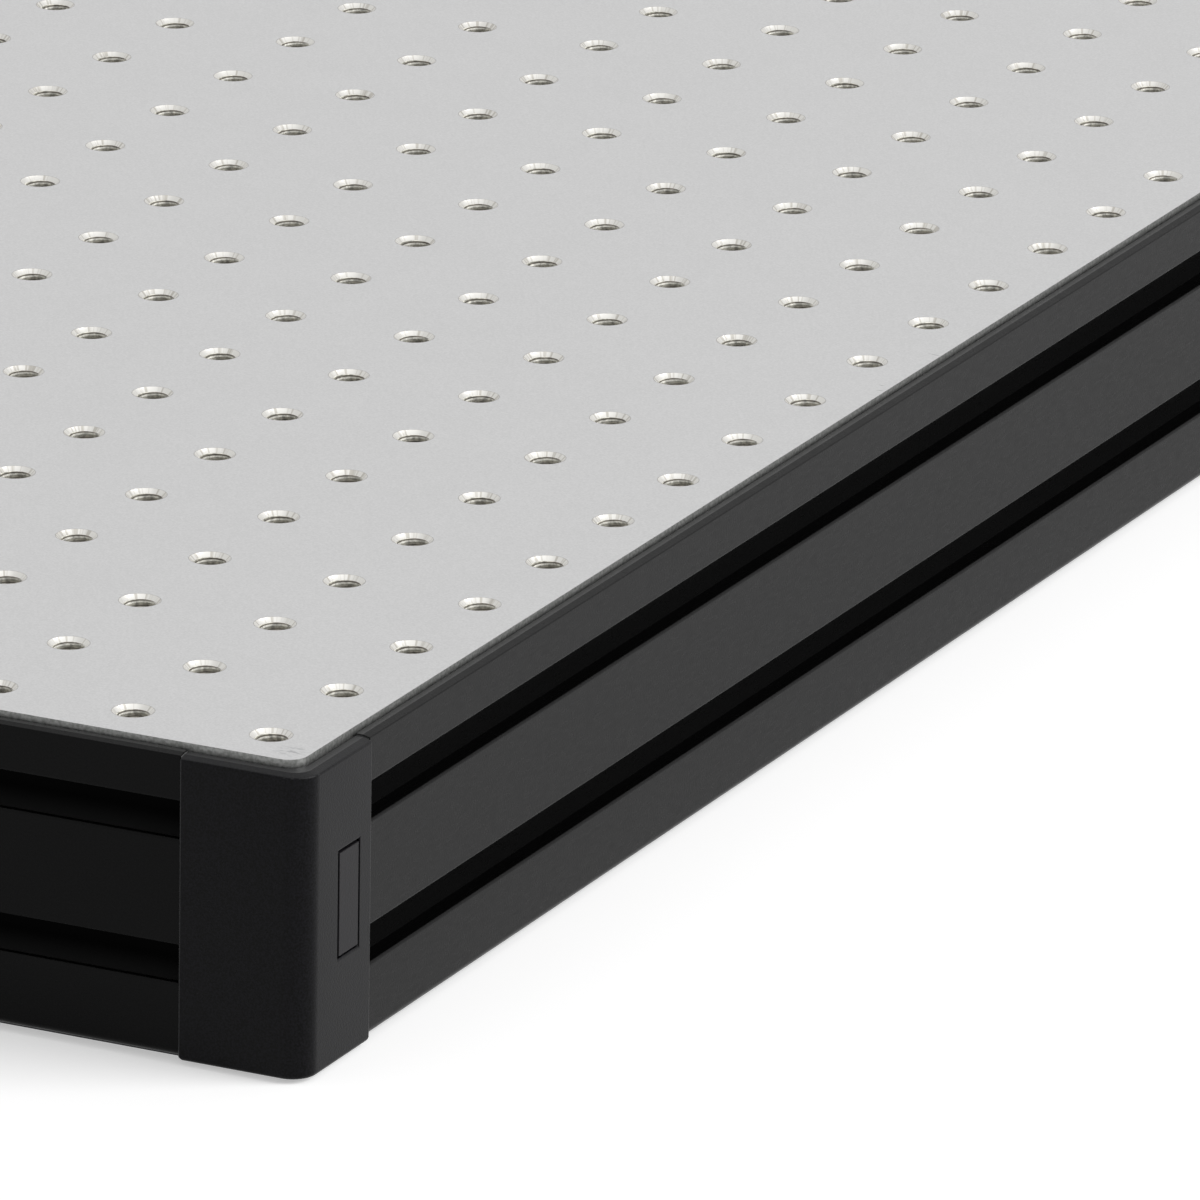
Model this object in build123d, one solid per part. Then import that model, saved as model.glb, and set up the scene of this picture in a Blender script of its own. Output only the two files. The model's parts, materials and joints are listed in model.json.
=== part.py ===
# Honeycomb optical breadboard: a tapped steel top skin on a closed core,
# framed by slotted aluminium rails with moulded caps at the four corners.
# Millimetres. +Z is up, +Y runs along the board, and the origin is on the
# underside at the middle of the board.

from build123d import *
import os

os.makedirs("parts", exist_ok=True)

# Hole grid
hole_pitch = 25.0
holes_across = 12
holes_along = 24
tapping_diameter = 5.0
countersink_width = 1.0  # measured along the radius, at 45 degrees

# Skins and core
board_thickness = 53.6
top_skin_thickness = 4.8
bottom_skin_thickness = 3.4
edge_margin = 9.9  # outermost hole centres to the edge of the skin
skin_corner_radius = 3.2
skin_proud = 1.0  # how far each skin stands past the rails
skin_gap = 0.35  # joint between the skin's edge and the rim round it

# Rails
rim_reach = 3.0  # edge of the skin to the rail's outer face
rail_depth = 9.0
bevel_width = 1.35
bevel_drop = 0.3
rail_bottom_radius = 1.5

# T-slots in the rails
slot_opening = 6.5
slot_lip = 1.5
slot_depth = 5.8
slot_undercut = 2.0
slot_mouth_chamfer = 0.25
upper_slot_drop = 11.3  # top of the rail to the middle of the upper slot
slot_pitch = 24.5

# Hollow chamber between the two slots, which takes the caps' tongues
chamber_wall = 1.8
chamber_height = 10.5

# Corner caps
cap_leg = 22.5  # along the board, from the rails' outer face to the seam
cap_proud = 0.5
cap_top_drop = 0.5  # below the top of the rails
cap_bottom_drop = 0.5  # below the bottom of the rails
cap_corner_radius = 4.5
cap_bevel_width = 1.5
cap_bevel_drop = 0.45
cap_bottom_radius = 0.9
tongue_length = 8.0
tongue_clearance = 0.15
tongue_tip_chamfer = 1.0

# Plain plate let into one cap
badge_width = 6.8
badge_height = 17.6
badge_thickness = 0.8
badge_groove = 0.4  # open joint all round the plate
badge_seam_distance = 7.9  # middle of the plate to the seam
badge_drop = 26.2  # middle of the plate below the top of the board

# Sealing bead in the joint round each skin
seal_recess = 0.6  # below the edge of the rails

# Sizes worked out from the ones above
skin_width = (holes_across - 1) * hole_pitch + 2 * edge_margin
skin_length = (holes_along - 1) * hole_pitch + 2 * edge_margin
board_width = skin_width + 2 * rim_reach
board_length = skin_length + 2 * rim_reach
rim_width = rim_reach - skin_gap
rail_top = board_thickness - skin_proud
rail_bottom = skin_proud
top_ledge = board_thickness - top_skin_thickness
bottom_ledge = bottom_skin_thickness
cap_top = rail_top - cap_top_drop
cap_bottom = rail_bottom - cap_bottom_drop
upper_slot_z = rail_top - upper_slot_drop
lower_slot_z = upper_slot_z - slot_pitch
chamber_depth = rail_depth - 2 * chamber_wall
chamber_middle_z = (upper_slot_z + lower_slot_z) / 2


def slab(outline, low, high):
    """Stand a flat outline up between two heights."""
    return Pos(0, 0, low) * extrude(outline, amount=high - low)


def skin_outline(growth=0.0):
    return RectangleRounded(
        skin_width + 2 * growth, skin_length + 2 * growth, skin_corner_radius + growth
    )


def make_top_skin():
    grid = GridLocations(hole_pitch, hole_pitch, holes_across, holes_along)
    rims = [Wire.make_circle(tapping_diameter / 2, Plane(spot.position)) for spot in grid]
    plate = slab(Face(skin_outline().face().outer_wire(), rims), top_ledge, board_thickness)
    surface = plate.faces().sort_by(Axis.Z)[-1]
    mouths = [edge for rim in surface.inner_wires() for edge in rim.edges()]
    return plate.chamfer(countersink_width, None, mouths)


def make_bottom_skin():
    return slab(skin_outline(), 0, bottom_ledge)


def make_core():
    outline = Rectangle(board_width - 2 * rail_depth, board_length - 2 * rail_depth)
    return slab(outline, bottom_ledge, top_ledge)


def make_seal(low, high):
    return slab(skin_outline(skin_gap) - skin_outline(), low, high)


def rail_outline():
    """Cross-section without its slots: x inward from the outer face, y up."""
    edge = Polyline(
        (0, rail_bottom + rail_bottom_radius),
        (0, rail_top - bevel_drop),
        (bevel_width, rail_top),
        (rim_width, rail_top),
        (rim_width, top_ledge),
        (rail_depth, top_ledge),
        (rail_depth, bottom_ledge),
        (rim_width, bottom_ledge),
        (rim_width, rail_bottom),
        (rail_bottom_radius, rail_bottom),
    )
    corner = RadiusArc(edge @ 1, edge @ 0, rail_bottom_radius)
    return make_face([edge, corner])


def slot_outline():
    """Cross-section of one T-slot about its middle line."""
    mouth = slot_opening / 2
    wide = mouth + slot_undercut
    flare = slot_mouth_chamfer
    half = [
        (-flare, mouth + 2 * flare),
        (flare, mouth),
        (slot_lip, mouth),
        (slot_lip, wide),
        (slot_depth, wide),
    ]
    other = [(x, -y) for x, y in reversed(half)]
    return make_face(Polyline(*half, *other, close=True))


def chamber_outline(clearance=0.0):
    middle = Pos(chamber_wall + chamber_depth / 2, chamber_middle_z)
    return middle * Rectangle(chamber_depth - 2 * clearance, chamber_height - 2 * clearance)


def make_rail(length):
    """A rail along X, with its outer face on the XZ plane and facing -Y."""
    section = rail_outline() - chamber_outline()
    for height in (upper_slot_z, lower_slot_z):
        section -= Pos(0, height) * slot_outline()
    return extrude(Plane.YZ * section, amount=length / 2, both=True)


def nearest_origin(shape):
    return shape.vertices().sort_by(lambda corner: corner.X + corner.Y)[0]


def edges_at(block, height, inner_limit):
    """Level edges at one height that lie nearer the outside than a limit."""
    level = block.edges().filter_by_position(Axis.Z, height, height)
    return [edge for edge in level if min(edge.center().X, edge.center().Y) < inner_limit]


def cap_block():
    """L-shaped block round a corner of the rails, which is at X = Y = 0."""
    reach = cap_leg + cap_proud
    across = rail_depth + cap_proud
    legs = Rectangle(reach, across, align=Align.MIN) + Rectangle(across, reach, align=Align.MIN)
    legs = Pos(-cap_proud, -cap_proud) * legs
    outline = fillet(nearest_origin(legs), cap_corner_radius)
    block = slab(outline, cap_bottom, cap_top)
    foot = edges_at(block, cap_bottom, rail_depth)
    block = block.fillet(cap_bottom_radius, foot)
    rim = edges_at(block, cap_top, 0)
    top_face = block.faces().sort_by(Axis.Z)[-1]
    return block.chamfer(cap_bevel_width, cap_bevel_drop, rim, top_face)


def skin_window():
    """Room over and under the block for the corner of a skin and its joint."""
    side = cap_leg + cap_proud - rim_width
    window = Pos(rim_width, rim_width) * Rectangle(side, side, align=Align.MIN)
    return fillet(nearest_origin(window), skin_corner_radius + skin_gap)


def make_tongue():
    """Tongue that pushes into the chamber of the rail along X."""
    section = Plane.YZ * chamber_outline(tongue_clearance)
    tongue = Pos(cap_leg, 0, 0) * extrude(section, amount=tongue_length)
    tip = tongue.faces().sort_by(Axis.X)[-1]
    return tongue.chamfer(tongue_tip_chamfer, None, tip.edges())


def make_cap():
    window = skin_window()
    block = cap_block()
    block -= slab(window, top_ledge, board_thickness)
    block -= slab(window, 0, bottom_ledge)
    tongue = make_tongue()
    return block + tongue + mirror(tongue, about=Plane((0, 0, 0), z_dir=(1, -1, 0)))


def badge_box(width, height, depth):
    """Box let into the leg along X, flush with its outer face."""
    middle = Pos(cap_leg - badge_seam_distance, -cap_proud, board_thickness - badge_drop)
    return middle * Box(width, depth, height, align=(Align.CENTER, Align.MIN, Align.CENTER))


def make_badge():
    return badge_box(badge_width, badge_height, badge_thickness)


def badge_recess():
    wide = badge_width + 2 * badge_groove
    high = badge_height + 2 * badge_groove
    return badge_box(wide, high, badge_thickness)


def at_corner(shape, turn, x_side, y_side):
    place = Pos(x_side * board_width / 2, y_side * board_length / 2, 0)
    return place * Rot(0, 0, turn) * shape


def build():
    cap = make_cap()
    short_rail = make_rail(board_width - 2 * cap_leg)
    long_rail = make_rail(board_length - 2 * cap_leg)
    return {
        "top_skin": make_top_skin(),
        "bottom_skin": make_bottom_skin(),
        "honeycomb_core": make_core(),
        "top_edge_seal": make_seal(top_ledge, rail_top - seal_recess),
        "bottom_edge_seal": make_seal(rail_bottom + seal_recess, bottom_ledge),
        "front_rail": at_corner(short_rail, 0, 0, -1),
        "right_rail": at_corner(long_rail, 90, 1, 0),
        "back_rail": at_corner(short_rail, 180, 0, 1),
        "left_rail": at_corner(long_rail, 270, -1, 0),
        "front_left_cap": at_corner(cap, 0, -1, -1),
        "front_right_cap": at_corner(cap - badge_recess(), 90, 1, -1),
        "back_right_cap": at_corner(cap, 180, 1, 1),
        "back_left_cap": at_corner(cap, 270, -1, 1),
        "blank_badge": at_corner(make_badge(), 90, 1, -1),
    }


for name, shape in build().items():
    export_step(shape, f"parts/{name}.step")
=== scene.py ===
import json
import math
import bpy
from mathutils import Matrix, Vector

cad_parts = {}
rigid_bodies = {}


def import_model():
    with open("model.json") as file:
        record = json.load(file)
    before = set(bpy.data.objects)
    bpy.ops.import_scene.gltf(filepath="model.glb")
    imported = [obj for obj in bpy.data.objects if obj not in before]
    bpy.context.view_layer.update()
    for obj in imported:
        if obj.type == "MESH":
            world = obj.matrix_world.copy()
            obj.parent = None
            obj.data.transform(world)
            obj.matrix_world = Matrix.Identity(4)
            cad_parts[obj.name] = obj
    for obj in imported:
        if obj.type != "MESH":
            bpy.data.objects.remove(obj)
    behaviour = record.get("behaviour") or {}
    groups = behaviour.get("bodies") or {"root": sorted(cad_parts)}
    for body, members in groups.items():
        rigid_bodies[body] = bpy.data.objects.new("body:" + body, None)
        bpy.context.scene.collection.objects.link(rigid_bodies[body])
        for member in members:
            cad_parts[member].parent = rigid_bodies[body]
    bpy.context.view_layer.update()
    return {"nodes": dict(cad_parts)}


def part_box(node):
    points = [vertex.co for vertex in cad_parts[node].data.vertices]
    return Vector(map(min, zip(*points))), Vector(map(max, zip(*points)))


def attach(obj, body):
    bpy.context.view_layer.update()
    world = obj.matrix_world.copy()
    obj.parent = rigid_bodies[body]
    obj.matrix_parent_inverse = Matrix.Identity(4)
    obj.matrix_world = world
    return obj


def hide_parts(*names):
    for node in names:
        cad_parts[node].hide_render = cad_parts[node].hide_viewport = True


# Optical breadboard on a pale floor, seen from its front right corner.
# Metres. The CAD frame gives the sizes; the skin, rails and caps get their looks here.

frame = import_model()
millimetre = 0.001


# General tools

def deselectAll():
    if bpy.context.mode != "OBJECT":
        bpy.ops.object.mode_set(mode="OBJECT")
    bpy.ops.object.select_all(action="DESELECT")


def makeActive(thing):
    deselectAll()
    thing.select_set(True)
    bpy.context.view_layer.objects.active = thing


def nameIt(thing, name):
    thing.name = name
    thing.data.name = name


def zeroPlace(thing):
    makeActive(thing)
    bpy.ops.object.transform_apply(location=True, rotation=True, scale=True)


def selectVertices(thing, test):  # leaves the piece in edit mode
    makeActive(thing)
    bpy.ops.object.mode_set(mode="EDIT")
    bpy.ops.mesh.select_mode(type="VERT")
    bpy.ops.mesh.select_all(action="DESELECT")
    bpy.ops.object.mode_set(mode="OBJECT")
    for vertex in thing.data.vertices:
        vertex.select = test(vertex.co)
    bpy.ops.object.mode_set(mode="EDIT")


def applyModifiers(thing):
    makeActive(thing)
    for modifier in list(thing.modifiers):
        bpy.ops.object.modifier_apply(modifier=modifier.name)


def copyNode(nodeName, pieceName):  # its triangles merged back into flat faces
    makeActive(frame["nodes"][nodeName])
    bpy.ops.object.duplicate()
    piece = bpy.context.view_layer.objects.active
    bpy.ops.object.parent_clear(type="CLEAR_KEEP_TRANSFORM")
    nameIt(piece, pieceName)
    zeroPlace(piece)
    piece.data.materials.clear()
    bpy.ops.mesh.customdata_custom_splitnormals_clear()
    bpy.ops.object.mode_set(mode="EDIT")
    bpy.ops.mesh.select_all(action="SELECT")
    bpy.ops.mesh.remove_doubles(threshold=0.002 * millimetre)
    bpy.ops.mesh.dissolve_limited(angle_limit=math.radians(0.6))
    bpy.ops.object.mode_set(mode="OBJECT")
    return piece


# Materials

def newMaterial(name, colour, roughness, metallic=0.0, specular=0.5):
    material = bpy.data.materials.new(name)
    material.use_nodes = True
    shader = material.node_tree.nodes["Principled BSDF"]
    shader.inputs["Base Color"].default_value = (*colour, 1)
    shader.inputs["Roughness"].default_value = roughness
    shader.inputs["Metallic"].default_value = metallic
    shader.inputs["Specular IOR Level"].default_value = specular
    material.diffuse_color = (*colour, 1)
    return material


class NodeBench:  # adds nodes to one material and joins them up
    def __init__(self, material):
        self.tree = material.node_tree
        self.shader = self.tree.nodes["Principled BSDF"]
        self.place = self.add("ShaderNodeTexCoord").outputs["Object"]

    def add(self, kind, **settings):
        node = self.tree.nodes.new(kind)
        for key, value in settings.items():
            setattr(node, key, value)
        return node

    def join(self, output, target):
        self.tree.links.new(output, target)

    def maths(self, operation, first, second=None, third=None):
        node = self.add("ShaderNodeMath", operation=operation)
        for index, value in enumerate((first, second, third)):
            if value is None:
                continue
            if isinstance(value, (int, float)):
                node.inputs[index].default_value = value
            else:
                self.join(value, node.inputs[index])
        return node.outputs[0]

    def noise(self, scale, detail=3, stretch=(1, 1, 1)):
        mapping = self.add("ShaderNodeMapping")
        mapping.inputs["Scale"].default_value = stretch
        self.join(self.place, mapping.inputs["Vector"])
        node = self.add("ShaderNodeTexNoise")
        node.inputs["Scale"].default_value = scale
        node.inputs["Detail"].default_value = detail
        self.join(mapping.outputs[0], node.inputs["Vector"])
        return node.outputs["Fac"]

    def spread(self, value, low, high, outLow=0.0, outHigh=1.0):
        node = self.add("ShaderNodeMapRange")
        self.join(value, node.inputs["Value"])
        keys = ("From Min", "From Max", "To Min", "To Max")
        for key, number in zip(keys, (low, high, outLow, outHigh)):
            node.inputs[key].default_value = number
        return node.outputs[0]

    def blend(self, amount, first, second):
        node = self.add("ShaderNodeMix", data_type="RGBA")
        self.join(amount, node.inputs["Factor"])
        for socket, colour in ((node.inputs[6], first), (node.inputs[7], second)):
            if isinstance(colour, tuple):
                socket.default_value = (*colour, 1)
            else:
                self.join(colour, socket)
        return node.outputs[2]

    def bump(self, height, depth, strength=1.0, under=None):
        node = self.add("ShaderNodeBump")
        node.inputs["Distance"].default_value = depth
        node.inputs["Strength"].default_value = strength
        self.join(height, node.inputs["Height"])
        if under is not None:
            self.join(under, node.inputs["Normal"])
        return node.outputs[0]

    def near(self, spot, reach):  # 1 at a spot on the object, 0 past its reach
        return self.stroke(spot, 2 * reach, 2 * reach, 0)

    def stroke(self, spot, length, width, degrees):  # a soft stroke that lies level on the object
        turned = self.add("ShaderNodeMapping", vector_type="TEXTURE")
        turned.inputs["Location"].default_value = spot
        turned.inputs["Rotation"].default_value = (0, 0, math.radians(degrees))
        turned.inputs["Scale"].default_value = (length / 2, width / 2, length / 2)
        self.join(self.place, turned.inputs["Vector"])
        distance = self.add("ShaderNodeVectorMath", operation="LENGTH")
        self.join(turned.outputs[0], distance.inputs[0])
        return self.spread(distance.outputs["Value"], 1.0, 0.0)


topSkin = {
    "holesAcross": 12,
    "holesAlong": 24,
    "rimRadius": 3.5 * millimetre,
    "coneRadius": 2.78 * millimetre,  # where the cone meets the first groove of the thread
    "coneDepth": 0.72 * millimetre,
    "boreRadius": 2.64 * millimetre,
    "grooveDepth": 0.79 * millimetre,
    "holeDepth": 4.5 * millimetre,
    "edgeBand": 1.5 * millimetre,  # faces this near the outline can be the skin's sides
    "rimSides": 20,
    "cornerRadius": 3.2 * millimetre,
    "cornerSteps": 10,
}


holeLook = {
    "pitch": 25 * millimetre,
    "threadPitch": 1.0 * millimetre,
    "threadDepth": 0.11 * millimetre,
    "threadStart": 0.80,  # share of a turn
    "threadWander": 0.22,  # how far the start differs from hole to hole
    # the thread's flanks are painted: light where they face up, shade and a groove shadow where they face
    # down
    "threadPaintedLight": (0.66, 0.65, 0.60),
    "threadShade": (0.60, 0.585, 0.52),
    "threadPaintedShadow": (0.13, 0.115, 0.095),
    "threadStops": ((0.08, "threadShade"), (0.40, "threadShade"), (0.50, "threadPaintedLight"),
                    (0.76, "threadPaintedLight"), (0.86, "threadPaintedShadow")),  # over one turn, bottom to top: painted shade, then painted light, then the groove's painted shadow
    "threadRoughness": 0.42,
    "threadMetal": 0.35,
    "speckleScale": 1300.0,
    "speckleRange": (0.36, 0.64),
    "threadSpeckle": (0.7, 1.45),
    "coneColour": (0.66, 0.65, 0.62),
    "coneRoughness": 0.40,
    "coneMetal": 0.9,
    "coneLine": (0.42, 0.40, 0.36),
    "coneLineScale": 30.0,  # tool marks that run down the cone
    "coneLineRange": (0.52, 0.70),
    "coneLineStrength": 0.8,
    # painted shade: the hole floor is painted dark at the bottom of each hole
    "floorColour": (0.15, 0.14, 0.125),
    "rimLine": (0.24, 0.23, 0.21),
    "rimLineWidth": 0.13 * millimetre,
    "rimLineStrength": 0.8,
}


def holeSpace(bench):  # height, and angle, distance and a chance number for the nearest hole of the grid
    half = holeLook["pitch"] / 2
    parts = bench.add("ShaderNodeSeparateXYZ")
    bench.join(bench.place, parts.inputs[0])
    sides, cells = [], []
    for axis in ("X", "Y"):
        shifted = bench.maths("ADD", parts.outputs[axis], half)
        sides.append(bench.maths("WRAP", shifted, half, -half))
        pitches = bench.maths("DIVIDE", parts.outputs[axis], holeLook["pitch"])
        cells.append(bench.maths("FLOOR", pitches))
    turn = bench.maths("DIVIDE", bench.maths("ARCTAN2", sides[1], sides[0]), 2 * math.pi)
    cell = bench.add("ShaderNodeCombineXYZ")
    bench.join(cells[0], cell.inputs[0])
    bench.join(cells[1], cell.inputs[1])
    chance = bench.add("ShaderNodeTexWhiteNoise", noise_dimensions="3D")
    bench.join(cell.outputs[0], chance.inputs["Vector"])
    squares = [bench.maths("POWER", side, 2) for side in sides]
    reach = bench.maths("SQRT", bench.maths("ADD", *squares))
    return {"height": parts.outputs["Z"], "turn": turn, "chance": chance.outputs["Value"], "reach": reach}


steelFinish = {
    "colour": (0.606, 0.605, 0.606),
    "duller": (0.506, 0.505, 0.506),
    "roughness": (0.34, 0.46),
    "grainScale": 2600.0,
    "grainShare": 0.94,
    "grainRange": (0.35, 0.65),
    "grainDepth": 0.02 * millimetre,
    "grainStrength": 0.5,
    "cloudScale": 70.0,
    "scuffPlace": (0.1442, -0.2931, 0.0536),
    "scuffReach": 3.4 * millimetre,
    "scuffColour": (0.33, 0.33, 0.34),
    "scuffStreaks": 1500.0,
    "scuffRange": (0.48, 0.60),
    "scratches": (  # middle, length in millimetres, degrees from +X
        ((0.1462, -0.0535, 0.0536), 3.2, -9),
        ((0.1454, -0.0736, 0.0536), 1.5, -2),
        ((0.1465, -0.0764, 0.0536), 2.0, 8),
    ),
    "scratchColour": (0.22, 0.22, 0.22),
    "scratchWidth": 0.34 * millimetre,
}


def makeSteel():
    values = steelFinish
    material = newMaterial("topSteel", values["colour"], sum(values["roughness"]) / 2, metallic=1.0)
    bench = NodeBench(material)
    grain = bench.noise(values["grainScale"], detail=4)
    cloud = bench.noise(values["cloudScale"], detail=2)
    share = values["grainShare"]
    mixed = bench.maths("MULTIPLY_ADD", grain, share, bench.maths("MULTIPLY", cloud, 1 - share))
    metal = bench.blend(bench.spread(mixed, *values["grainRange"]), values["duller"], values["colour"])
    streaks = bench.noise(values["scuffStreaks"], detail=2, stretch=(0.5, 1, 1))
    scuffed = bench.maths("MULTIPLY", bench.near(values["scuffPlace"], values["scuffReach"]),
                          bench.spread(streaks, *values["scuffRange"]))
    metal = bench.blend(scuffed, metal, values["scuffColour"])
    for spot, length, degrees in values["scratches"]:
        line = bench.stroke(spot, length * millimetre, values["scratchWidth"], degrees)
        metal = bench.blend(line, metal, values["scratchColour"])
    rim = topSkin["rimRadius"]
    fade = bench.spread(holeSpace(bench)["reach"], rim, rim + holeLook["rimLineWidth"],
                        holeLook["rimLineStrength"], 0.0)
    bench.join(bench.blend(fade, metal, holeLook["rimLine"]), bench.shader.inputs["Base Color"])
    bench.join(bench.spread(grain, *values["grainRange"], *values["roughness"]),
               bench.shader.inputs["Roughness"])
    grainBump = bench.bump(grain, values["grainDepth"], values["grainStrength"])
    bench.join(grainBump, bench.shader.inputs["Normal"])
    return material


def makeThread():  # grooves that climb round the hole, with painted light on the upward flank, painted shade on the downward flank and a painted shadow in the groove
    values = holeLook
    material = newMaterial("tappedThread", values["threadPaintedLight"], values["threadRoughness"],
                           metallic=values["threadMetal"])
    bench = NodeBench(material)
    hole = holeSpace(bench)
    rise = bench.maths("DIVIDE", hole["height"], values["threadPitch"])
    wander = bench.maths("MULTIPLY_ADD", hole["chance"], values["threadWander"], values["threadStart"])
    phase = bench.maths("FRACT", bench.maths("ADD", bench.maths("ADD", rise, hole["turn"]), wander))
    flank = bench.maths("PINGPONG", phase, 0.5)
    groove = bench.spread(flank, 0.0, 0.5)
    # a colour ramp of painted light and shade over each turn
    ramp = bench.add("ShaderNodeValToRGB")
    bench.join(phase, ramp.inputs[0])
    stops = ramp.color_ramp.elements
    stops[0].position, stops[0].color = 0.0, (*values["threadPaintedShadow"], 1)
    stops[1].position, stops[1].color = 1.0, (*values["threadPaintedShadow"], 1)
    for place, shade in values["threadStops"]:
        stop = stops.new(place)
        stop.color = (*values[shade], 1)
    specks = bench.noise(values["speckleScale"])
    speckle = bench.spread(specks, *values["speckleRange"], *values["threadSpeckle"])
    worn = bench.add("ShaderNodeVectorMath", operation="SCALE")
    bench.join(ramp.outputs[0], worn.inputs[0])
    bench.join(speckle, worn.inputs["Scale"])
    bench.join(worn.outputs[0], bench.shader.inputs["Base Color"])
    bench.join(bench.bump(groove, values["threadDepth"]), bench.shader.inputs["Normal"])
    return material


def makeCone():
    values = holeLook
    material = newMaterial("countersink", values["coneColour"], values["coneRoughness"],
                           metallic=values["coneMetal"])
    bench = NodeBench(material)
    hole = holeSpace(bench)
    spokes = bench.add("ShaderNodeTexNoise", noise_dimensions="2D")
    spokes.inputs["Scale"].default_value = values["coneLineScale"]
    spokes.inputs["Detail"].default_value = 1.0
    side = bench.add("ShaderNodeCombineXYZ")
    bench.join(hole["turn"], side.inputs[0])
    bench.join(bench.maths("MULTIPLY", hole["chance"], 40.0), side.inputs[1])  # no two cones alike
    bench.join(side.outputs[0], spokes.inputs["Vector"])
    line = bench.spread(spokes.outputs["Fac"], *values["coneLineRange"], 0.0, values["coneLineStrength"])
    bench.join(bench.blend(line, values["coneColour"], values["coneLine"]),
               bench.shader.inputs["Base Color"])
    return material


skinSideFinish = {
    "colour": (0.39, 0.395, 0.385),
    "darker": (0.25, 0.255, 0.245),
    "roughness": 0.45,
    "grainScale": 1500.0,
    "grainRange": (0.38, 0.62),
}


def makeSkinSide():
    values = skinSideFinish
    material = newMaterial("skinEdgeSteel", values["colour"], values["roughness"], metallic=1.0)
    bench = NodeBench(material)
    grain = bench.noise(values["grainScale"], detail=2)
    shade = bench.spread(grain, *values["grainRange"])
    bench.join(bench.blend(shade, values["darker"], values["colour"]),
               bench.shader.inputs["Base Color"])
    return material


railFinish = {
    "colour": (0.0019, 0.0019, 0.0020),
    "roughness": 0.30,
    "specular": 0.080,
    # painted light: the rails' top flats and bevels are lighter copies of the black, the bevels a dimmer
    # copy with less shine
    "flatPaintedLight": (0.036, 0.036, 0.036),
    "bevelPaintedLight": (0.018, 0.018, 0.018),
    "bevelSpecular": 0.028,
    # painted light on the slots' back walls
    "slotBackPaintedLight": (0.0050, 0.0050, 0.0050),
    # painted shade on the slots' ledges
    "slotLedgePaintedShade": (0.0012, 0.0012, 0.0012),
    "slotSpecular": 0.03,
    "footShadeAndLight": (0.0012, 0.048),  # the short rails' slot back walls carry painted shade high up and painted light at the foot
    "footSpecular": 0.012,
    "footHeight": 11.55 * millimetre,  # foot of the lower slots
    "footFade": 4.6 * millimetre,
    "footCurve": 1.7,
    "slotPitch": 24.5 * millimetre,
    "grainScale": 2600.0,
    "grainStretch": (0.12, 0.12, 0.6),  # drawn out level, along the extrusion
    "grainDepth": 0.015 * millimetre,
    "pitDepth": 0.04 * millimetre,
    "speckle": 0.4,
    "edgeSpeckle": 0.15,
}


blackGrain = {
    "streakRange": (0.3, 0.7),
    "streakStrength": 0.4,
    "roughnessSwing": 0.05,
    "speckRange": (0.36, 0.64),
    "pitStrength": 0.6,
}


def makeBlack(name, values, colour, specular):  # drawn streaks, fine pits and specks of tone
    roughness = values["roughness"]
    swing = blackGrain["roughnessSwing"]
    material = newMaterial(name, values[colour], roughness, specular=values[specular])
    bench = NodeBench(material)
    streaks = bench.noise(values["grainScale"], detail=3, stretch=values["grainStretch"])
    bench.join(bench.spread(streaks, *blackGrain["streakRange"], roughness - swing, roughness + swing),
               bench.shader.inputs["Roughness"])
    specks = bench.noise(values["grainScale"], detail=2)
    pitted = bench.bump(specks, values["pitDepth"], blackGrain["pitStrength"])
    drawn = bench.bump(streaks, values["grainDepth"], blackGrain["streakStrength"], under=pitted)
    bench.join(drawn, bench.shader.inputs["Normal"])
    speckle = values["speckle" if colour == "colour" else "edgeSpeckle"]
    pale, dark = (tuple(part * (1 + side * speckle) for part in values[colour]) for side in (1, -1))
    bench.join(bench.blend(bench.spread(specks, *blackGrain["speckRange"]), dark, pale),
               bench.shader.inputs["Base Color"])
    return material


def makeSlotFoot():  # back wall of a short rail's slots, painted shade under the lip fading to painted light at the foot
    values = railFinish
    dark, pale = ((tone, tone, tone) for tone in values["footShadeAndLight"])
    material = newMaterial("slotFootShadeAndLight", dark, values["roughness"], specular=values["footSpecular"])
    bench = NodeBench(material)
    parts = bench.add("ShaderNodeSeparateXYZ")
    bench.join(bench.place, parts.inputs[0])
    raised = bench.maths("SUBTRACT", parts.outputs["Z"], values["footHeight"])
    above = bench.maths("WRAP", raised, values["slotPitch"], 0.0)
    low = bench.spread(above, 0.0, values["footFade"], 1.0, 0.0)
    # painted light at the foot of each back wall, painted shade above it
    bench.join(bench.blend(bench.maths("POWER", low, values["footCurve"]), dark, pale),
               bench.shader.inputs["Base Color"])
    streaks = bench.noise(values["grainScale"], detail=3, stretch=values["grainStretch"])
    drawn = bench.bump(streaks, values["grainDepth"], blackGrain["streakStrength"])
    bench.join(drawn, bench.shader.inputs["Normal"])
    return material


capFinish = {
    "colour": (0.0027, 0.0026, 0.0034),
    "roughness": 0.34,
    "specular": 0.10,
    # painted light on the caps' top flats and end edges, dimmer on the bevels
    "flatPaintedLight": (0.030, 0.030, 0.031),
    "bevelPaintedLight": (0.026, 0.026, 0.027),
    "bevelSpecular": 0.036,
    "grainScale": 3000.0,
    "grainStretch": (1, 1, 1),
    "grainDepth": 0.05 * millimetre,
    "pitDepth": 0.02 * millimetre,
    "speckle": 0.95,
    "edgeSpeckle": 0.12,
}


baseFinish = {  # dark coated sheet, slightly mottled
    "colour": (0.045, 0.045, 0.048),
    "roughness": 0.5,
    "specular": 0.3,
    "grainScale": 900.0,
    "grainStretch": (1, 1, 1),
    "grainDepth": 0.03 * millimetre,
    "pitDepth": 0.02 * millimetre,
    "speckle": 0.3,
}

sealFinish = {**baseFinish, "colour": (0.022, 0.022, 0.022), "roughness": 0.75, "specular": 0.2}

plateFinish = {**baseFinish, "colour": (0.0085, 0.0078, 0.0092), "roughness": 0.36, "specular": 0.105,
               "grainScale": 2600.0, "speckle": 0.4}

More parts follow.
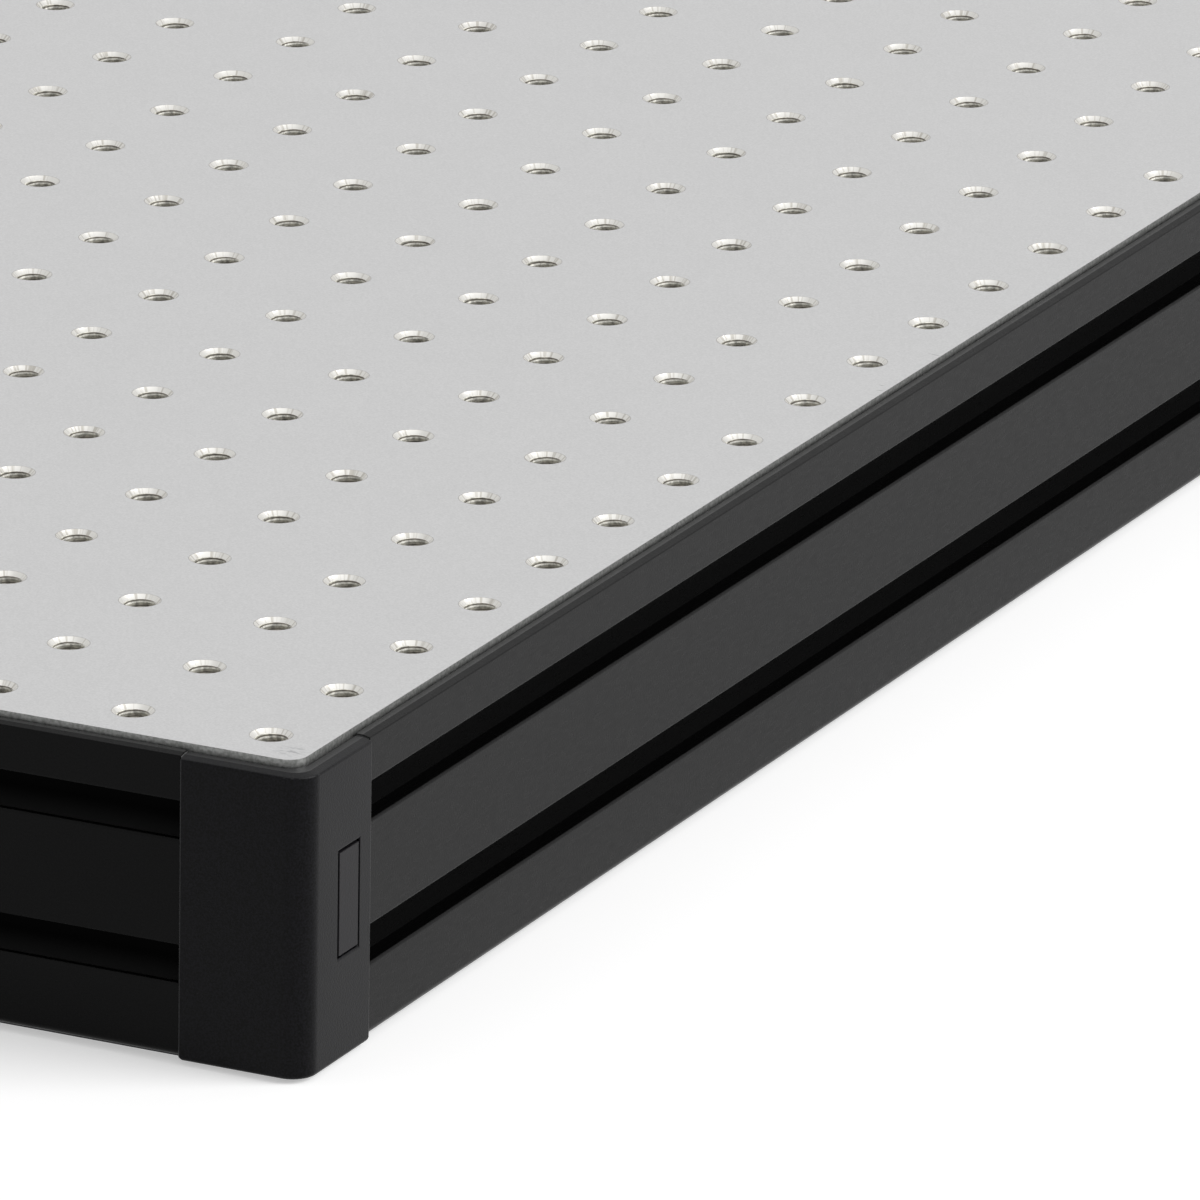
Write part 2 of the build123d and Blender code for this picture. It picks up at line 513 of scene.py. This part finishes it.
sawnFinish = {**baseFinish, "colour": (0.11, 0.11, 0.11), "grainScale": 1800.0,
              "grainStretch": (1, 1, 0.1)}

coreFinish = {
    "colour": (0.45, 0.45, 0.46),
    # painted shade inside the open cells
    "darker": (0.2, 0.2, 0.21),
    "roughness": 0.45,
    "cellScale": 260.0,
    "cellUnevenness": 0.2,
    "foilEdges": (0.03, 0.09),
}


def makeCoreFoil():  # open cells of bare foil, with painted shade inside each cell
    values = coreFinish
    material = newMaterial("coreFoil", values["colour"], values["roughness"], metallic=1.0)
    bench = NodeBench(material)
    cells = bench.add("ShaderNodeTexVoronoi", feature="DISTANCE_TO_EDGE")
    cells.inputs["Scale"].default_value = values["cellScale"]
    cells.inputs["Randomness"].default_value = values["cellUnevenness"]
    bench.join(bench.place, cells.inputs["Vector"])
    inside = bench.spread(cells.outputs["Distance"], *values["foilEdges"])
    bench.join(bench.blend(inside, values["colour"], values["darker"]), bench.shader.inputs["Base Color"])
    return material


steel = makeSteel()
thread = makeThread()
cone = makeCone()
railBlack = makeBlack("blackAnodised", railFinish, "colour", "specular")
# lit and shaded copies of the rail's black: painted light on flats, bevels and slot backs, painted shade
# on slot ledges
railFlatLit = makeBlack("blackFlatLit", railFinish, "flatPaintedLight", "specular")
railBevelLit = makeBlack("blackBevelLit", railFinish, "bevelPaintedLight", "bevelSpecular")
slotBackLit = makeBlack("slotBackLit", railFinish, "slotBackPaintedLight", "slotSpecular")
slotFootShadeAndLight = makeSlotFoot()
slotLedgeShaded = makeBlack("slotLedgeShaded", railFinish, "slotLedgePaintedShade", "slotSpecular")
sawnEnd = makeBlack("sawnEnd", sawnFinish, "colour", "specular")
capBlack = makeBlack("capPlastic", capFinish, "colour", "specular")
# lit copies of the cap's black: painted light on the top, a painted highlight on the end edges
capFlatLit = makeBlack("capFlatLit", capFinish, "flatPaintedLight", "specular")
capBevelLit = makeBlack("capBevelLit", capFinish, "bevelPaintedLight", "bevelSpecular")
skinSide = makeSkinSide()
# painted shade: the hole floors are painted dark
shadedHoleFloor = newMaterial("shadedHoleFloor", holeLook["floorColour"], 0.7)
sealBlack = makeBlack("sealBlack", sealFinish, "colour", "specular")
baseSteel = makeBlack("baseSteel", baseFinish, "colour", "specular")
coreFoil = makeCoreFoil()
plateGrey = makeBlack("plateGrey", plateFinish, "colour", "specular")
print("materials ready")


# Top skin: one tile with a tapped hole, repeated and cut to the skin's outline

def makeTile(top):
    values = topSkin
    pitch = holeLook["pitch"]
    across, along = ((values[count] - 1) / 2 for count in ("holesAcross", "holesAlong"))
    middle = (-pitch * across, -pitch * along, top)  # the hole at the front left
    deselectAll()
    bpy.ops.mesh.primitive_circle_add(vertices=values["rimSides"], radius=values["rimRadius"],
                                      location=middle)
    tile = bpy.context.active_object
    nameIt(tile, "drilledSkin")
    zeroPlace(tile)
    bpy.ops.object.mode_set(mode="EDIT")
    bpy.ops.mesh.primitive_plane_add(size=pitch, location=middle)  # a square outline round the rim
    bpy.ops.mesh.delete(type="ONLY_FACE")
    bpy.ops.object.mode_set(mode="OBJECT")
    selectVertices(tile, lambda co: max(abs(co.x - middle[0]), abs(co.y - middle[1])) > 0.4 * pitch)
    bpy.ops.mesh.subdivide(number_cuts=values["rimSides"] // 4 - 1)
    bpy.ops.mesh.select_all(action="SELECT")
    bpy.ops.mesh.bridge_edge_loops()
    selectVertices(tile, lambda co: (co.xy - Vector(middle[:2])).length < values["rimRadius"] * 1.01)
    radius, depth = values["rimRadius"], 0
    rings = (("coneRadius", "coneDepth"), ("boreRadius", "grooveDepth"), ("boreRadius", "holeDepth"))
    for nextRadius, nextDepth in rings:
        move = (0, 0, depth - values[nextDepth])
        bpy.ops.mesh.extrude_region_move(TRANSFORM_OT_translate={"value": move})
        shrink = values[nextRadius] / radius
        bpy.ops.transform.resize(value=(shrink, shrink, 1), center_override=middle)
        radius, depth = values[nextRadius], values[nextDepth]
    bpy.ops.mesh.edge_face_add()
    bpy.ops.mesh.select_all(action="SELECT")
    bpy.ops.mesh.normals_make_consistent(inside=False)
    bpy.ops.object.mode_set(mode="OBJECT")
    return tile


def repeatTile(tile):
    for count, step in (("holesAcross", (1, 0, 0)), ("holesAlong", (0, 1, 0))):
        array = tile.modifiers.new(count, "ARRAY")
        array.count = topSkin[count]
        array.use_relative_offset = False
        array.use_constant_offset = True
        array.constant_offset_displace = [part * holeLook["pitch"] for part in step]
        array.use_merge_vertices = True
        array.merge_threshold = 0.01 * millimetre
    applyModifiers(tile)


def makeOutline(low, high):  # the skin's rounded outline as a tall block
    skinLow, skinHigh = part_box("top_skin")
    size = [skinHigh[axis] - skinLow[axis] for axis in range(2)]
    deselectAll()
    bpy.ops.mesh.primitive_cube_add(size=1, location=(0, 0, (low + high) / 2), scale=(*size, high - low))
    block = bpy.context.active_object
    nameIt(block, "skinOutline")
    zeroPlace(block)
    bpy.ops.object.mode_set(mode="EDIT")
    bpy.ops.mesh.select_mode(type="EDGE")
    bpy.ops.mesh.select_all(action="DESELECT")
    bpy.ops.object.mode_set(mode="OBJECT")
    for edge in block.data.edges:
        first, second = (block.data.vertices[index].co for index in edge.vertices)
        edge.select = abs(first.z - second.z) > 0.5 * (high - low)
    bpy.ops.object.mode_set(mode="EDIT")
    bpy.ops.mesh.bevel(offset=topSkin["cornerRadius"], segments=topSkin["cornerSteps"],
                       clamp_overlap=False)
    bpy.ops.object.mode_set(mode="OBJECT")
    return block


def closeUnder(tile, drop):  # walls and a flat underside, so that the sheet is a solid plate
    makeActive(tile)
    bpy.ops.object.mode_set(mode="EDIT")
    bpy.ops.mesh.select_mode(type="EDGE")
    bpy.ops.mesh.select_all(action="DESELECT")
    bpy.ops.mesh.select_non_manifold(extend=False, use_wire=False, use_boundary=True,
                                     use_multi_face=False, use_non_contiguous=False, use_verts=False)
    bpy.ops.mesh.extrude_region_move(TRANSFORM_OT_translate={"value": (0, 0, drop)})
    bpy.ops.mesh.edge_face_add()
    bpy.ops.mesh.select_all(action="SELECT")
    bpy.ops.mesh.normals_make_consistent(inside=False)
    bpy.ops.object.mode_set(mode="OBJECT")


def paintSkin(piece, top):  # the numbers are the places in this list of materials
    for material in (steel, cone, thread, shadedHoleFloor, skinSide):
        piece.data.materials.append(material)
    low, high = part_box("top_skin")
    coneEnd = top - topSkin["coneDepth"]
    inset = 0.02 * millimetre
    for face in piece.data.polygons:
        centre = face.center
        outside = any(abs(centre[axis]) > high[axis] - topSkin["edgeBand"] for axis in range(2))
        if face.normal.z > 0.99 and centre.z > top - inset:
            face.material_index = 0
        elif outside and abs(face.normal.z) < 0.2:
            face.material_index = 4
        elif centre.z > coneEnd + inset:
            face.material_index = 1
        elif face.normal.z > 0.9 and centre.z < top - 0.9 * topSkin["holeDepth"]:
            face.material_index = 3
        elif centre.z > low[2] + inset:
            face.material_index = 2
        else:
            face.material_index = 4


def makeTopSkin():
    bottom, top = (corner[2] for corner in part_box("top_skin"))
    tile = makeTile(top)
    repeatTile(tile)
    closeUnder(tile, bottom - top)
    block = makeOutline(bottom - 5 * millimetre, top + 5 * millimetre)
    cut = tile.modifiers.new("outline", "BOOLEAN")
    cut.operation = "INTERSECT"
    cut.object = block
    cut.solver = "EXACT"
    applyModifiers(tile)
    makeActive(block)
    bpy.ops.object.delete()
    tile.data.materials.clear()
    paintSkin(tile, top)
    makeActive(tile)
    bpy.ops.object.shade_smooth_by_angle(angle=math.radians(25))
    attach(tile, "root")
    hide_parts("top_skin")
    print("top skin", len(tile.data.polygons), "faces")


makeTopSkin()


# Rails, caps and the plain plate: the CAD forms with soft edges

edgeForm = {
    "rail": {"width": 0.16 * millimetre, "segments": 2},
    "cap": {"width": 0.34 * millimetre, "segments": 3},
    "badge": {"width": 0.12 * millimetre, "segments": 2},
    "sharpAngle": math.radians(40),
    "smoothAngle": math.radians(9),
}

capForm = {
    "lift": 0.25 * millimetre,
    "liftedBand": 0.6 * millimetre,
    "topBand": 2 * millimetre,  # flats and bevels lie within this of the top
    "edgeStart": 6 * millimetre,  # past this from the middle, a sideways face is part of the end edge
}


def softenEdges(piece, slotName):
    makeActive(piece)
    bevel = piece.modifiers.new("softEdges", "BEVEL")
    bevel.width = edgeForm[slotName]["width"]
    bevel.segments = edgeForm[slotName]["segments"]
    bevel.limit_method = "ANGLE"
    bevel.angle_limit = edgeForm["sharpAngle"]
    bevel.use_clamp_overlap = False
    applyModifiers(piece)
    bpy.ops.object.shade_smooth_by_angle(angle=edgeForm["smoothAngle"])


def paintRail(piece, nodeName):  # flats and shallow bevels along the top, slot walls and sawn ends; painted light on the flats, bevels and slot back walls, painted shade on the slot ledges
    low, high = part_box(nodeName)
    along = 0 if high[0] - low[0] > high[1] - low[1] else 1
    for material in (railFlatLit, railBevelLit, slotBackLit if along else slotFootShadeAndLight, slotLedgeShaded, sawnEnd):
        piece.data.materials.append(material)
    across = 1 - along
    outside = max(abs(low[across]), abs(high[across]))
    rim = 3 * millimetre  # the slots lie further than this from the top and bottom
    for face in piece.data.polygons:
        normal, centre = face.normal, face.center
        inside = abs(centre[across]) < outside - rim / 4
        inSlot = inside and low[2] + rim < centre.z < high[2] - rim
        if abs(normal[along]) > 0.95:
            face.material_index = 5
        # top flats: painted light
        elif normal.z > 0.99 and centre.z > high[2] - rim:
            face.material_index = 1
        # shallow bevels: dimmer painted light
        elif 0.93 < normal.z < 0.99:
            face.material_index = 2
        # slot back walls: painted light, or painted light and shade on the short rails
        elif inSlot and abs(normal[across]) > 0.9:
            face.material_index = 3
        # slot ledges and the other slot faces: painted shade
        elif inSlot:
            face.material_index = 4


def paintCap(piece, nodeName):  # flat and bevel along the top get painted light, and the ends' edges a painted highlight
    for material in (capFlatLit, capBevelLit):
        piece.data.materials.append(material)
    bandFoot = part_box(nodeName)[1][2] - capForm["topBand"]
    middle = [sum(corner[axis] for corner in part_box(nodeName)) / 2 for axis in range(2)]
    for face in piece.data.polygons:
        normal, centre = face.normal, face.center
        sideways = min(abs(normal.x), abs(normal.y)) > 0.25
        nearest = min(abs(centre[axis]) - abs(middle[axis]) for axis in range(2))
        if centre.z > bandFoot and normal.z > 0.99:
            face.material_index = 1
        elif sideways and nearest < -capForm["edgeStart"]:
            face.material_index = 1
        elif centre.z > bandFoot and normal.z > 0.6:
            face.material_index = 2


def liftCapTop(piece, nodeName):  # the top sits a little nearer the rails' than the CAD cap's
    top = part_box(nodeName)[1][2]
    selectVertices(piece, lambda co: co.z > top - capForm["liftedBand"])
    bpy.ops.transform.translate(value=(0, 0, capForm["lift"]))
    bpy.ops.object.mode_set(mode="OBJECT")


def dressNode(nodeName, pieceName, slotName, material):
    piece = copyNode(nodeName, pieceName)
    piece.data.materials.append(material)
    if slotName == "cap":
        liftCapTop(piece, nodeName)
    softenEdges(piece, slotName)
    if slotName == "cap":
        paintCap(piece, nodeName)
    if slotName == "rail":
        paintRail(piece, nodeName)
    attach(piece, "root")
    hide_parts(nodeName)


for side in ("front", "right", "back", "left"):
    dressNode(f"{side}_rail", f"{side}Rail", "rail", railBlack)
print("rails ready")

for end in ("front", "back"):
    for side in ("left", "right"):
        dressNode(f"{end}_{side}_cap", f"{end}{side.title()}Cap", "cap", capBlack)
dressNode("blank_badge", "plainPlate", "badge", plateGrey)
print("caps ready")


def paintNode(nodeName, material):
    node = frame["nodes"][nodeName]
    node.data.materials.clear()
    node.data.materials.append(material)


paintNode("bottom_skin", baseSteel)
paintNode("honeycomb_core", coreFoil)
paintNode("top_edge_seal", sealBlack)
paintNode("bottom_edge_seal", sealBlack)


# Floor, lights and camera

stageLook = {
    "floorSize": 9.0,
    "floorDrop": 0.2 * millimetre,
    "floorColour": (0.80, 0.80, 0.80),
    "paperLift": 0.42,  # for the camera and reflections only, so that the floor reads as white paper
    "worldDiffuse": 0.42,
    "keyPower": 60.0,
    "keySize": 1.6,
    "keyPlace": (2.3, 0.3, 1.5),
    "softBoxPower": 3.6,
    "softBoxSize": 1.4,
    "softBoxPlace": (0.37, -0.66, 1.52),
}


def makeFloor():
    values = stageLook
    deselectAll()
    bpy.ops.mesh.primitive_plane_add(size=values["floorSize"], location=(0, 0, -values["floorDrop"]))
    floor = bpy.context.active_object
    nameIt(floor, "floor")
    material = newMaterial("floorPaper", values["floorColour"], 0.9, specular=0.0)
    bench = NodeBench(material)
    rays = bench.add("ShaderNodeLightPath").outputs
    seen = bench.maths("MAXIMUM", rays["Is Camera Ray"], rays["Is Glossy Ray"])
    bench.shader.inputs["Emission Color"].default_value = (1, 1, 1, 1)
    lift = bench.maths("MULTIPLY", seen, values["paperLift"])
    bench.join(lift, bench.shader.inputs["Emission Strength"])
    fromBelow = bench.add("ShaderNodeNewGeometry").outputs["Backfacing"]
    close = bench.maths("LESS_THAN", rays["Ray Length"], 5 * values["floorDrop"])
    mix = bench.add("ShaderNodeMixShader")  # clear from below, to show the underside
    bench.join(bench.maths("MAXIMUM", fromBelow, close), mix.inputs[0])
    bench.join(bench.shader.outputs[0], mix.inputs[1])
    bench.join(bench.add("ShaderNodeBsdfTransparent").outputs[0], mix.inputs[2])
    bench.join(mix.outputs[0], bench.tree.nodes["Material Output"].inputs["Surface"])
    floor.data.materials.append(material)


def makeWorld():
    world = bpy.data.worlds.new("studioWorld")
    bpy.context.scene.world = world
    world.use_nodes = True
    tree = world.node_tree
    rays = tree.nodes.new("ShaderNodeLightPath")
    seen = tree.nodes.new("ShaderNodeMath")
    seen.operation = "MAXIMUM"
    tree.links.new(rays.outputs["Is Camera Ray"], seen.inputs[0])
    tree.links.new(rays.outputs["Is Glossy Ray"], seen.inputs[1])
    strength = tree.nodes.new("ShaderNodeMapRange")
    strength.inputs["To Min"].default_value = stageLook["worldDiffuse"]
    strength.inputs["To Max"].default_value = 1.0
    tree.links.new(seen.outputs[0], strength.inputs["Value"])
    background = tree.nodes["Background"]
    background.inputs["Color"].default_value = (1, 1, 1, 1)
    tree.links.new(strength.outputs[0], background.inputs["Strength"])


def makeLamp(name, place, power, size):
    deselectAll()
    bpy.ops.object.light_add(type="AREA", location=place)
    lamp = bpy.context.active_object
    lamp.name = name
    lamp.data.energy = power
    lamp.data.size = size
    lamp.rotation_euler = (-Vector(place)).to_track_quat("-Z", "Y").to_euler()
    return lamp


def makeLamps():
    values = stageLook
    makeLamp("keyLight", values["keyPlace"], values["keyPower"], values["keySize"])
    softBox = makeLamp("softBox", values["softBoxPlace"], values["softBoxPower"], values["softBoxSize"])
    softBox.visible_diffuse = False  # it only brightens what shines


cameraView = {
    "azimuth": 0.450136,  # from the front towards the right side, radians
    "elevation": 0.323223,
    "roll": 0.01572,
    "target": (0.15395, -0.20111, 0.0536),
    "distance": 2.58286,
    "lens": 470.52,
}


def makeCamera():
    values = cameraView
    azimuth, elevation, roll = values["azimuth"], values["elevation"], values["roll"]
    level = math.cos(elevation)
    back = Vector((math.sin(azimuth) * level, -math.cos(azimuth) * level, math.sin(elevation)))
    right = Vector((math.cos(azimuth), math.sin(azimuth), 0))
    up = back.cross(right)
    turnedRight = right * math.cos(roll) + up * math.sin(roll)
    turnedUp = up * math.cos(roll) - right * math.sin(roll)
    place = Vector(values["target"]) + back * values["distance"]
    bpy.ops.object.camera_add(location=place)
    camera = bpy.context.active_object
    camera.name = "photoCamera"
    camera.data.sensor_fit = "HORIZONTAL"
    camera.data.sensor_width = 36
    camera.data.lens = values["lens"]
    camera.data.clip_end = 50
    matrix = camera.matrix_world.copy()
    for index, column in enumerate((turnedRight, turnedUp, back)):
        for row in range(3):
            matrix[row][index] = column[row]
    camera.matrix_world = matrix
    bpy.context.scene.camera = camera


makeFloor()
makeWorld()
makeLamps()
makeCamera()
bpy.context.scene.view_settings.view_transform = "Standard"
print("stage ready")
